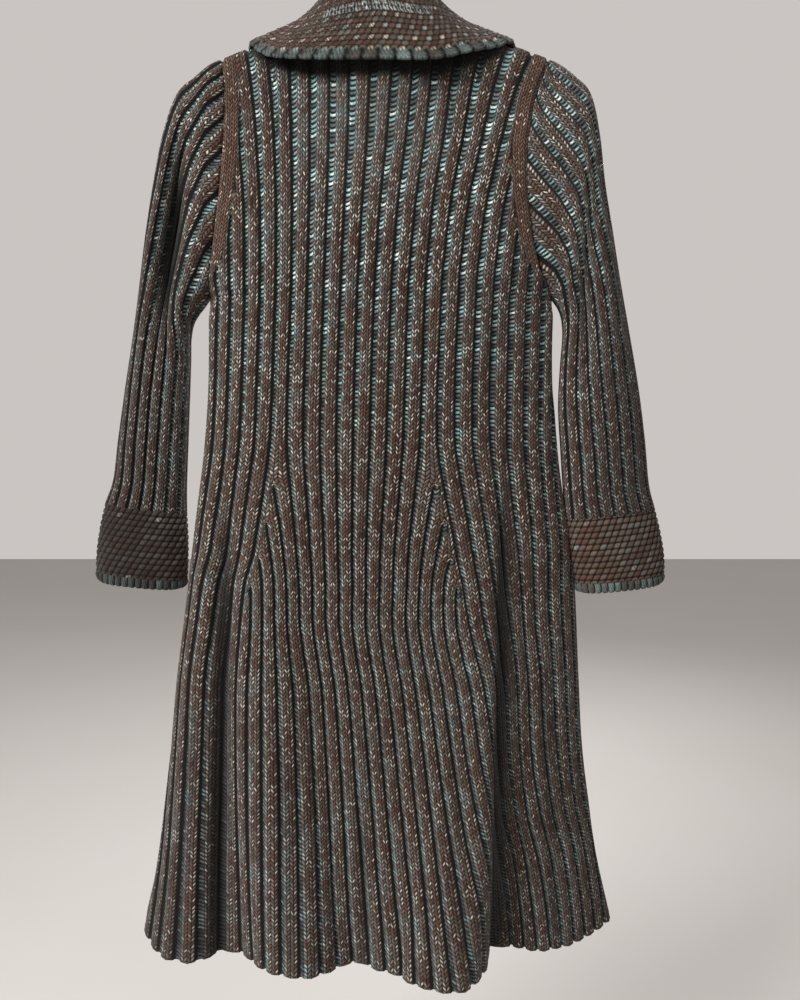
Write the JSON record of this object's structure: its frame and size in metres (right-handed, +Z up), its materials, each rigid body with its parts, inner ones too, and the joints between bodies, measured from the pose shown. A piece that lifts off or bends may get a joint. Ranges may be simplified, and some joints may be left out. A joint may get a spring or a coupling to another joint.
{
  "type": "cardigan on hanger",
  "caption": "Long flared rib-knit cardigan with a wide fold-down collar and flared cuffs, open down the front, on a contoured hanger with a wire hook.",
  "frame": {"origin": "top of the inside of the hook's bend, where it bears on a rail", "axes": "+Z up along the hanging cardigan, -Y towards the viewer of its back, +X to the right of the back view, +Y out of its open front"},
  "size_m": [0.6676, 0.214, 1.1871],
  "materials": {
    "rib_knit": "soft marled rib knit, brown with teal in the troughs",
    "basket_knit": "soft brown basket-stitch knit with pale flecks",
    "hanger_plastic": "matte black",
    "hook_steel": "polished wire"
  },
  "bodies": {
    "root": {"back": "rib_knit", "front_left": "rib_knit", "front_right": "rib_knit", "front_band_left": "basket_knit", "front_band_right": "basket_knit", "sleeve_left": "rib_knit", "sleeve_right": "rib_knit", "cuff_left": "basket_knit", "cuff_right": "basket_knit", "collar": "basket_knit", "hanger": "hanger_plastic", "hook": "hook_steel"}
  },
  "joints": []
}
